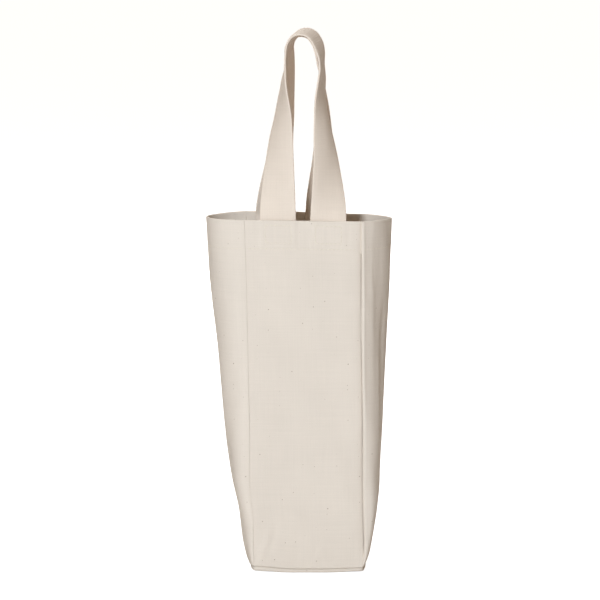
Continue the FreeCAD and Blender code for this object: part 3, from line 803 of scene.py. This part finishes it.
def flange_place(corner, depth, z, offset, seed):
    """A point of a flange: corner is front/back and left/right as signs."""
    face, side = corner
    seam = left_seam(z) if side < 0 else right_seam(z)
    x = seam + side * offset + flange_sway(depth, z, seed)
    return settled(np.stack([x, face * (front_line(z) - depth), z], axis=-1))


def make_flange(name, corner, offset, seed):
    piece, u, v = cut_cloth(name, np.linspace(FLANGE_START, ALLOWANCE, FLANGE_COLUMNS),
                            np.linspace(FLANGE_LOW, FLANGE_HIGH, FLANGE_ROWS))
    sew(piece, flange_place(corner, u, v, offset, seed))
    thicken(piece, CLOTH)
    edit_all()
    bpy.ops.mesh.normals_make_consistent(inside=False)
    bpy.ops.object.mode_set(mode="OBJECT")
    return piece


CORNERS = {"front_left": (-1, -1), "front_right": (-1, 1), "back_left": (1, -1), "back_right": (1, 1)}
SEEDS = {word: 61 + number for number, word in enumerate(CORNERS)}
panel_flanges, gusset_flanges = {}, {}
for word, corner in CORNERS.items():
    # A cut gets its thickness on one side of its grid, and at two of the corners that is the other side.
    near, far = SAME_SIDE if corner[0] == corner[1] else OTHER_SIDE
    panel_flanges[word] = make_flange(word + "_panel_flange", corner, near, SEEDS[word])
    gusset_flanges[word] = make_flange(word + "_gusset_flange", corner, far, SEEDS[word])
print("flanges:", len(panel_flanges) + len(gusset_flanges))

# %% Walls with their flanges
for node, flanges, words in (("front_panel", panel_flanges, ("front_left", "front_right")),
                             ("back_panel", panel_flanges, ("back_left", "back_right")),
                             ("left_gusset", gusset_flanges, ("front_left", "back_left")),
                             ("right_gusset", gusset_flanges, ("front_right", "back_right"))):
    piece = joined(node + "_cloth", [walls[node]] + [flanges[word] for word in words])
    finished(piece, canvas, "canvas", node)
    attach(piece, "bag")

# %% [markdown]
# ## Base
# The base is a square of the same cloth. It lies on the floor, its edge rolls up to the base seam, and its
# allowance stands up inside the walls. A plain square would miss the rolled edge that shows as a strip under
# the seam, so the grid is bent until its rings follow the outline of the seam and its last ones turn up.

# %% Base cloth
BASE_ROLL_RADIUS = 0.9
BASE_OVERHANG = 0.8
BASE_HALF_DEPTH = 46.3
BASE_BOW, BOW_SHARE = 3.2, 0.9
CORNER_POWER = 40
BASE_CUT_HALF, BASE_GRID = 54, 81
BASE_RISE = 0.25


def base_outline(angle):
    """The base seam seen from above, with rounded corners, by the angle round the middle."""
    c, s = np.cos(angle), np.sin(angle)
    left = float(left_seam(BASE_SEAM)) - BASE_OVERHANG
    right = float(right_seam(BASE_SEAM)) + BASE_OVERHANG
    middle = (left + right) / 2
    unit = (np.abs(c) ** CORNER_POWER + np.abs(s) ** CORNER_POWER) ** (-1 / CORNER_POWER)
    bow = BASE_BOW * np.maximum(0, 1 - (s * unit) ** 2)
    x = middle + c * unit * ((right - left) / 2 + bow * BOW_SHARE)
    return np.stack([x, s * unit * BASE_HALF_DEPTH], axis=-1)


def make_base():
    side = np.linspace(-1, 1, BASE_GRID) * BASE_CUT_HALF
    piece, u, v = cut_cloth("base_cloth", side, side)
    u, v = u / BASE_CUT_HALF, v / BASE_CUT_HALF
    ring = np.maximum(np.abs(u), np.abs(v))
    edge = base_outline(np.arctan2(v, u))
    middle = np.array([float(left_seam(BASE_SEAM) + right_seam(BASE_SEAM)) / 2, 0])
    reach = np.linalg.norm(edge - middle, axis=-1)
    curl = ROLL * math.pi / 2
    rise = BASE_SEAM - ROLL - BASE_ROLL_RADIUS
    quarter = BASE_ROLL_RADIUS * math.pi / 2
    flat_end = reach - BASE_ROLL_RADIUS
    along = ring * (flat_end + quarter + rise + curl)
    turn = np.clip((along - flat_end) / BASE_ROLL_RADIUS, 0, math.pi / 2)
    climb = np.clip(along - flat_end - quarter, 0, rise)
    tuck = np.clip((along - flat_end - quarter - rise) / ROLL, 0, math.pi / 2)
    rolled_out = flat_end + BASE_ROLL_RADIUS * np.sin(turn) - ROLL * (1 - np.cos(tuck))
    out = np.where(along < flat_end, along, rolled_out)
    height = BASE_ROLL_RADIUS * (1 - np.cos(turn)) + climb + ROLL * np.sin(tuck)
    way = (edge - middle) / reach[:, None]
    place = middle + way * out[:, None]
    lift = BASE_RISE * (1 - ring**2) * (1 + rolling(place[:, 0], place[:, 1], 71, 60, 60))
    sew(piece, settled(np.column_stack([place, height + np.maximum(lift, 0)])))
    edit_all()
    bpy.ops.mesh.flip_normals()
    bpy.ops.object.mode_set(mode="OBJECT")
    thicken(piece, CLOTH)
    return piece


# %% Base with its allowance
PANEL_FOOT = 88
UPSTAND_INSET = 3.2
UPSTAND_LOW, UPSTAND_HIGH, UPSTAND_LIFT = 1.4, 12.0, 1.0
UPSTAND_DEPTH, UPSTAND_WAVE = 1.15, 0.25
UPSTAND_COLUMNS, UPSTAND_ROWS = 60, 8


def make_upstand(name, wall, width):
    """The base allowance that stands up inside one wall."""
    piece, u, v = cut_cloth(name, np.linspace(UPSTAND_INSET, width - UPSTAND_INSET, UPSTAND_COLUMNS),
                            np.linspace(UPSTAND_LOW, UPSTAND_HIGH, UPSTAND_ROWS))
    share, z = u / width, v + UPSTAND_LIFT
    depth = UPSTAND_DEPTH + UPSTAND_WAVE * rolling(u, v, 73, 30, 50)
    sew(piece, settled(wall(share, z) - outward(wall, share, z) * depth[:, None]))
    thicken(piece, CLOTH)
    return piece


FEET = ((front_wall, PANEL_FOOT), (back_wall, PANEL_FOOT), (left_wall, WALL_CLOTH), (right_wall, WALL_CLOTH))
upstands = [make_upstand("upstand", wall, width) for wall, width in FEET]
base_cloth = joined("base_cloth", [make_base()] + upstands)
finished(base_cloth, canvas, "canvas", "base_panel")
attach(base_cloth, "bag")

# %% [markdown]
# ## Handles
# Each handle is one length of webbing. Its ends are sewn flat inside the hem. Above the rim the inside edge
# of each leg stays near the panel while the outside edge swings in over the mouth, so the webbing turns on
# edge and closes in a narrow arch. A bevelled curve would keep one plain section and its twist is hard to
# steer, so the path is a table: the place of the inside edge in mm, the turn of the webbing about it in
# degrees, and its tilt. A flat grid is then wrapped round the webbing's section along that path. The weft
# makes ribs across the webbing and small bumps along both edges.

# %% Webbing paths
STRAP_WIDTH = 28.5
STRAP_THICKNESS = 2.2
STRAP_GAP = 0.05
STRAP_DEPTH = HEM_INSIDE + STRAP_GAP + STRAP_THICKNESS / 2


def seat(height):
    """Where the middle of a webbing end lies inside the hem."""
    return STRAP_DEPTH - front_line(height)


FRONT_PATH = [
    (-7.1, seat(256.5), 256.5, 0, 0), (-7.1, seat(268), 268, 0, 0), (-7.1, seat(279), 279, 1, 0),
    (-7.4, -31.0, 288, 9, 0), (-8.5, -30.8, 312, 30, 0), (-9.75, -30.3, 341.6, 49, 0),
    (-10.9, -29.8, 360, 62, 0), (-14.5, -29.2, 381, 79, 0), (-15.7, -28.6, 391, 86, 0.01),
    (-15.9, -28.0, 400, 93.5, 0.04), (-15.8, -28.2, 409, 99, 0.1), (-14.9, -29.0, 417.0, 102, 0.14),
    (-12.2, -30.0, 422.4, 102, 0.14), (-8.3, -30.8, 425.2, 102, 0.14), (-3.3, -31.7, 425.9, 102, 0.14),
    (0.6, -32.4, 424.7, 102, 0.14), (3.6, -32.8, 422.4, 102, 0.145), (5.9, -33.0, 419.1, 102, 0.15),
    (8.6, -32.8, 413.4, 101.5, 0.15), (10.6, -32.0, 407.6, 99.5, 0.12), (11.4, -31.0, 400.5, 97.5, 0.05),
    (10.5, -30.2, 391.5, 101, 0), (7.9, -29.8, 374, 106.5, 0), (7.2, -29.9, 355, 116, 0),
    (6.95, -30.0, 341.6, 124, 0),
    (6.9, -30.3, 329.8, 131, 0), (5.6, -30.8, 303, 151, 0), (4.5, -31.0, 288, 168, 0),
    (4.0, seat(279), 279, 179, 0), (4.0, seat(268), 268, 180, 0), (4.0, seat(256.5), 256.5, 180, 0)]
BACK_PATH = [
    (-11.2, seat(256.5), 256.5, 0, 0), (-11.2, seat(268), 268, 0, 0), (-11.2, seat(279), 279, 1, 0),
    (-11.0, -31.0, 288, 12, 0), (-10.4, -30.7, 312, 34, 0), (-9.6, -30.1, 340, 52, 0),
    (-9.0, -29.7, 360, 64, 0), (-8.8, -29.4, 381, 73, 0), (-8.6, -29.3, 397, 75, 0),
    (-9.0, -29.3, 409, 76, -0.02), (-9.2, -29.3, 414.5, 77, -0.02), (-7.8, -29.3, 419.2, 79, -0.02),
    (-4.0, -29.3, 423.2, 81, -0.02), (0.6, -29.3, 424.2, 82, -0.02), (5.2, -29.3, 422.8, 82, -0.02),
    (9.8, -29.3, 418.0, 81, -0.02), (13.0, -29.3, 409.5, 81, -0.01), (13.9, -29.3, 399, 83, 0),
    (13.0, -29.4, 387, 93, 0), (10.4, -29.7, 370, 106, 0), (8.0, -30.0, 345, 119, 0),
    (6.6, -30.3, 326, 130, 0), (2.9, -30.8, 301, 149, 0), (1.0, -31.0, 288, 168, 0),
    (0.3, seat(279), 279, 179, 0), (0.3, seat(268), 268, 180, 0), (0.3, seat(256.5), 256.5, 180, 0)]
print("places along the paths:", len(FRONT_PATH), "and", len(BACK_PATH))

# %% Webbing along a path
PATH_POINTS = 3000


def lengths_along(points):
    return np.concatenate([[0], np.cumsum(np.linalg.norm(np.diff(points, axis=0), axis=1))])


def strap_frames(path, face, step):
    """Middle line, width direction and face direction of the webbing at even steps along it."""
    table = np.array(path, float)
    turn = np.radians(table[:, 3])
    width = np.stack([-np.cos(turn), np.sin(turn), table[:, 4]], axis=-1)
    along = lengths_along(table[:, :3] + width * STRAP_WIDTH / 2)
    fine = np.linspace(0, along[-1], PATH_POINTS)
    columns = [through(along, column)(fine) for column in (*table[:, :3].T, turn, table[:, 4])]
    width = np.stack([-np.cos(columns[3]), np.sin(columns[3]), columns[4]], axis=-1)
    middle = np.stack(columns[:3], axis=-1) + width * STRAP_WIDTH / 2
    length = lengths_along(middle)
    even = np.linspace(0, length[-1], int(length[-1] / step) + 1)
    middle = np.stack([np.interp(even, length, part) for part in middle.T], axis=-1)
    width = np.stack([np.interp(even, length, part) for part in width.T], axis=-1)
    middle[:, 1] *= -face
    width[:, 1] *= -face
    tangent = np.gradient(middle, axis=0)
    tangent = tangent / np.linalg.norm(tangent, axis=1, keepdims=True)
    width = width - tangent * np.sum(width * tangent, axis=1, keepdims=True)
    width = width / np.linalg.norm(width, axis=1, keepdims=True)
    return middle, width, np.cross(tangent, width), even


# %% Section of the webbing
FLAT_HALF, THIN_FROM = 13.6, 9.5
MIDDLE_HALF, EDGE_THINNER = 1.1, 0.38
EDGE_ROUND, EDGE_HALF = 0.65, 0.72
FLAT_POINTS, EDGE_POINTS = 17, 7
CUP_BEND, CUP_STEPS = 5.0, 16
LEFT_CUP, RIGHT_CUP = math.radians(8), math.radians(15)


def webbing_section():
    """The section's outline: places across the webbing and through it, thinner at both edges."""
    flat = np.linspace(-FLAT_HALF, FLAT_HALF, FLAT_POINTS)
    thick = MIDDLE_HALF - EDGE_THINNER * eased(np.abs(flat), THIN_FROM, FLAT_HALF)
    turn = np.linspace(-math.pi / 2, math.pi / 2, EDGE_POINTS)[1:-1]
    right_edge = np.stack([FLAT_HALF + EDGE_ROUND * np.cos(turn), EDGE_HALF * np.sin(turn)], axis=-1)
    lower = np.stack([flat, -thick], axis=-1)
    upper = np.stack([flat[::-1], thick], axis=-1)
    return np.concatenate([lower, right_edge, upper, -right_edge])


def cupped(across, cup):
    """A point across cupped webbing: its place along the width and out of it, and the turn there."""
    half = STRAP_WIDTH / 2
    reach = across + half
    shares = (np.arange(CUP_STEPS)[:, None] + 0.5) / CUP_STEPS
    turns = cup * np.tanh((shares * reach - half) / CUP_BEND)
    along = reach * np.mean(np.cos(turns), axis=0) - half
    out = -reach * np.mean(np.sin(turns), axis=0)
    return along, out, -cup * np.tanh(across / CUP_BEND)


print("points round the section:", len(webbing_section()))

# %% Two handles
WEBBING_STEP = 0.32
EDGE_FROM, EDGE_SPAN = 13.0, 1.2
RIB_PITCH, SCALLOP_PITCH = 1.75, 3.5
LEG_RIB, ARCH_RIB, ARCH_RIB_SPAN = 0.02, 0.05, (392, 408)
SCALLOP, SCALLOP_WAVE = 0.12, 0.4
UNEVEN = 0.0875
CUP_GROWS, CUP_FADES = (298, 350), (350, 386)
DOUBLES = 0.000005


def close_webbing():
    """Merge the grid's two long edges and close both cut ends of the active piece."""
    edit_all()
    bpy.ops.mesh.remove_doubles(threshold=DOUBLES)
    bpy.ops.mesh.select_all(action="DESELECT")
    bpy.ops.mesh.select_mode(type="EDGE")
    bpy.ops.mesh.select_non_manifold()
    bpy.ops.mesh.fill()
    bpy.ops.mesh.select_all(action="SELECT")
    bpy.ops.mesh.normals_make_consistent(inside=False)
    bpy.ops.object.mode_set(mode="OBJECT")
    bpy.ops.object.shade_smooth()


def make_webbing(name, path, face):
    """One length of webbing, wrapped round its section along its path. The face is -1 in front, 1 behind."""
    middle, width, facing, even = strap_frames(path, face, WEBBING_STEP)
    section = webbing_section()
    ring = len(section)
    piece, u, v = cut_cloth(name, np.arange(ring + 1), even)
    column = np.rint(u).astype(int) % ring
    row = np.searchsorted(even, v - 1e-6)
    across, through_it = section[column, 0], section[column, 1]
    height = middle[row, 2]
    at_edge = np.clip((np.abs(across) - EDGE_FROM) / EDGE_SPAN, 0, 1)
    rib = np.cos(2 * math.pi * v / RIB_PITCH)
    side = np.where(across > 0, 0.0, 0.5)
    scallop = np.abs(np.cos(math.pi * (v / SCALLOP_PITCH + side))) - 0.5
    uneven = UNEVEN * rolling(across, v, 81, 60, 26)
    proud = np.sign(across) * at_edge * SCALLOP * (scallop + SCALLOP_WAVE * rolling(across, v, 82, 90, 11))
    ribbed = LEG_RIB + ARCH_RIB * eased(height, *ARCH_RIB_SPAN)
    through_it = through_it + np.sign(through_it) * (1 - at_edge) * ribbed * rib + uneven
    leg = np.where(row > np.argmax(middle[:, 2]), RIGHT_CUP, LEFT_CUP)
    cup = -face * leg * eased(height, *CUP_GROWS) * (1 - eased(height, *CUP_FADES))
    along, out, turn = cupped(across, cup)
    along = along + proud * np.cos(turn) - through_it * np.sin(turn)
    out = out + proud * np.sin(turn) + through_it * np.cos(turn)
    sew(piece, middle[row] + width[row] * along[:, None] + facing[row] * out[:, None])
    measured(piece.data, piece.data.uv_layers["flat"], np.stack([across + STRAP_WIDTH / 2, v], axis=-1))
    close_webbing()
    print(name, "webbing length", round(float(even[-1])), "mm")
    return piece


front_handle = make_webbing("front_handle_webbing", FRONT_PATH, -1)
back_handle = make_webbing("back_handle_webbing", BACK_PATH, 1)
for piece, word, face in ((front_handle, "front", -1), (back_handle, "back", 1)):
    finished(piece, webbing, "webbing", f"{word}_handle_loop", f"{word}_handle_left_end",
             f"{word}_handle_right_end")
    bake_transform(piece)

# %% [markdown]
# ## Stitches
# One stitch is a short rounded thread that dips into the cloth at both ends. A bump in the material would
# be quicker, but a seam seen from the side needs threads that stand up. The stitch is modelled once, as a
# sphere laid along its row, and each copy is drawn out to its length and bent. The rows follow the same
# walls, so they sit on the cloth: the hem row outside and inside, boxes on the webbing ends, and the rows
# through the allowances.

# %% One stitch
STITCH_RADIUS = 0.25
STITCH_ARCH, STITCH_DIP = 0.22, 0.10
STITCH_FLAT = 3.0
bpy.ops.object.select_all(action="DESELECT")
bpy.ops.mesh.primitive_uv_sphere_add(segments=8, ring_count=6, radius=STITCH_RADIUS)
stitch = bpy.context.object
stitch.name = "one_stitch"
edit_all()
bpy.ops.transform.rotate(value=math.pi / 2, orient_axis="Y", center_override=(0, 0, 0))
bpy.ops.object.mode_set(mode="OBJECT")
STITCH_POINTS = np.array([point.co for point in stitch.data.vertices])
# The sphere's faces come in another order each run, so they are sorted.
STITCH_FACES = sorted(tuple(face.vertices) for face in stitch.data.polygons)
bpy.data.objects.remove(stitch)
print("one stitch:", len(STITCH_POINTS), "points")


def sew_stitches(name, stitches, node):
    """A row of stitches, each given by its middle, direction, facing and length in mm, for a thread node."""
    points, faces, flats = [], [], []
    for number, (middle, along, facing, length) in enumerate(stitches):
        along = along / np.linalg.norm(along)
        facing = facing - along * np.dot(facing, along)
        facing = facing / np.linalg.norm(facing)
        aside = np.cross(facing, along)
        shape = STITCH_POINTS.copy()
        end = np.where(np.abs(shape[:, 0]) > 1e-6, np.sign(shape[:, 0]), 0)
        shape[:, 0] += end * (length / 2 - STITCH_RADIUS)
        bend = STITCH_ARCH * (1 - (2 * shape[:, 0] / length) ** 2) - STITCH_DIP
        raised = shape[:, 2:] + bend[:, None]
        points.append(middle + shape[:, :1] * along + shape[:, 1:2] * aside + raised * facing)
        faces += [tuple(corner + number * len(STITCH_POINTS) for corner in face) for face in STITCH_FACES]
        flats.append(shape[:, :2] + np.array([number * STITCH_FLAT, 0]))
    mesh = bpy.data.meshes.new(name)
    mesh.from_pydata((np.concatenate(points) * MM).tolist(), [], faces)
    measured(mesh, mesh.uv_layers.new(name="flat"), np.concatenate(flats))
    piece = bpy.data.objects.new(name, mesh)
    bpy.context.scene.collection.objects.link(piece)
    only(piece)
    bpy.ops.object.shade_smooth()
    finished(piece, thread, "thread", node)
    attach(piece, "bag")


# %% Hem row
STITCH_PITCH = 3.2
STITCH_LENGTH = 2.5
PANEL_ROW = 92.0
OUTER_INSET, INNER_INSET = 1.6, 3.5
ON_CLOTH = 0.05
STRAP_CLEAR = 1.5
STRAPS = {front_wall: FRONT_STRAPS, back_wall: BACK_STRAPS}


def row_on_wall(wall, relief, places, depth, facing):
    """Stitches at places along a wall, given as share and height pairs in order."""
    row = []
    share = np.array([place[0] for place in places])
    height = np.array([place[1] for place in places])
    normal = outward(wall, share, height)
    points = wall(share, height)
    rise = relief_at(wall, relief, points, share, height)
    points = settled(points + normal * (rise - depth)[:, None])
    for start, end, way in zip(points[:-1], points[1:], normal[:-1]):
        pitch = np.linalg.norm(end - start)
        row.append(((start + end) / 2, end - start, way * facing, pitch * STITCH_LENGTH / STITCH_PITCH))
    return row


def level_row(width, inset):
    count = int((width - 2 * inset) / STITCH_PITCH)
    return [(share, HEM_ROW) for share in np.linspace(inset / width, 1 - inset / width, count + 1)]


hem_row = []
for wall, relief, width in ((front_wall, front_relief, PANEL_ROW), (back_wall, back_relief, PANEL_ROW),
                            (left_wall, left_relief, WALL_CLOTH), (right_wall, right_relief, WALL_CLOTH)):
    hem_row += row_on_wall(wall, relief, level_row(width, OUTER_INSET), ON_CLOTH, 1)
    for inner in row_on_wall(wall, relief, level_row(width, INNER_INSET), HEM_INSIDE, -1):
        x = inner[0][0]
        if not any(low - STRAP_CLEAR < x < high + STRAP_CLEAR for low, high in STRAPS.get(wall, ())):
            hem_row.append(inner)
sew_stitches("hem_stitch_row", hem_row, "hem_stitching")

# %% Boxes on the webbing ends
BOX_INSET = 4
BOX_LOW, BOX_HIGH = 262.0, 276.0
BOX_LEVEL = 270.0


def box_row(wall, relief, low_x, high_x, depth, facing):
    """A box of stitches on a panel, by its two sides in mm."""
    left, right = wall(np.array([0.0, 1.0]), np.full(2, BOX_LEVEL))[:, 0]
    corners = [(low_x, BOX_LOW), (high_x, BOX_LOW), (high_x, BOX_HIGH), (low_x, BOX_HIGH), (low_x, BOX_LOW)]
    row = []
    for (x0, z0), (x1, z1) in zip(corners[:-1], corners[1:]):
        count = int(math.hypot(x1 - x0, z1 - z0) / STITCH_PITCH)
        places = [((x - left) / (right - left), z)
                  for x, z in zip(np.linspace(x0, x1, count + 1), np.linspace(z0, z1, count + 1))]
        row += row_on_wall(wall, relief, places, depth, facing)
    return row


for face, wall, relief in (("front", front_wall, front_relief), ("back", back_wall, back_relief)):
    for word, (low, high) in zip(("left", "right"), STRAPS[wall]):
        sides = (low + BOX_INSET, high - BOX_INSET)
        row = box_row(wall, relief, *sides, ON_CLOTH, 1)
        row += box_row(wall, relief, *sides, STRAP_DEPTH + STRAP_THICKNESS / 2, -1)
        sew_stitches(f"{face}_{word}_tack_thread", row, f"{face}_handle_{word}_tack")

# %% Rows and overlocking on the upright allowances
SEAM_ROW_DEPTH, SEAM_ROW_OFFSET = 3.3, -0.87
OVERLOCK_PITCH, OVERLOCK_WIDTH = 2.4, 4.5
OVERLOCK_IN, OVERLOCK_OUT = 0.95, 1.0
OVERLOCK_LEAN = np.array([0, 0, 1.2])
LEG_LENGTH, EDGE_LENGTH, EDGE_REACH = 4.6, 2.6, 1.9
EDGE_SHIFT, EDGE_PROUD = 0.03, 0.1


def overlock_loops(corner, seed):
    """Thread over the raw edge of two allowances: a leg on each face and a short one across the edge."""
    face, side = corner
    loops = []
    for z in np.arange(FLANGE_LOW + 1, FLANGE_HIGH - 2, OVERLOCK_PITCH):
        level = np.array([z])
        edge = flange_place(corner, np.array([ALLOWANCE]), level, 0.0, seed)[0]
        deep = flange_place(corner, np.array([ALLOWANCE - OVERLOCK_WIDTH]), level, 0.0, seed)[0]
        for x, lean in ((-side * OVERLOCK_IN, 1), (side * OVERLOCK_OUT, -1)):
            start, end = deep + (x, 0, 0), edge + (x, 0, 0) + OVERLOCK_LEAN * lean
            loops.append(((start + end) / 2, end - start, np.array([np.sign(x), 0.0, 0.0]), LEG_LENGTH))
        across = np.array([side * EDGE_REACH, 0, 0]) - OVERLOCK_LEAN
        middle = edge + (side * EDGE_SHIFT, -face * EDGE_PROUD, 0)
        loops.append((middle, across, np.array([0.0, -face, 0.0]), EDGE_LENGTH))
    return loops


for word, corner in CORNERS.items():
    heights = np.arange(FLANGE_LOW + 1, FLANGE_HIGH - 1, STITCH_PITCH)
    depths = np.full(len(heights), SEAM_ROW_DEPTH)
    spots = flange_place(corner, depths, heights, SEAM_ROW_OFFSET, SEEDS[word])
    facing = np.array([-corner[1], 0.0, 0.0])
    row = [((a + b) / 2, b - a, facing, STITCH_LENGTH) for a, b in zip(spots[:-1], spots[1:])]
    sew_stitches(word + "_seam_row", row, word + "_seam_stitching")
    sew_stitches(word + "_overlock_thread", overlock_loops(corner, SEEDS[word]), word + "_overlock")

# %% Row through the base allowance
BASE_ROW_INSET, BASE_ROW_LEVEL, BASE_ROW_DEPTH = 5, 6.0, 2.2
base_row = []
for wall, width in FEET:
    count = int((width - 2 * BASE_ROW_INSET) / STITCH_PITCH)
    share = np.linspace(BASE_ROW_INSET / width, 1 - BASE_ROW_INSET / width, count + 1)
    level = np.full(len(share), BASE_ROW_LEVEL)
    way = outward(wall, share, level)
    spots = settled(wall(share, level) - way * BASE_ROW_DEPTH)
    base_row += [((a + b) / 2, b - a, -w, STITCH_LENGTH)
                 for a, b, w in zip(spots[:-1], spots[1:], way[:-1])]
sew_stitches("base_stitch_row", base_row, "base_seam_stitching")
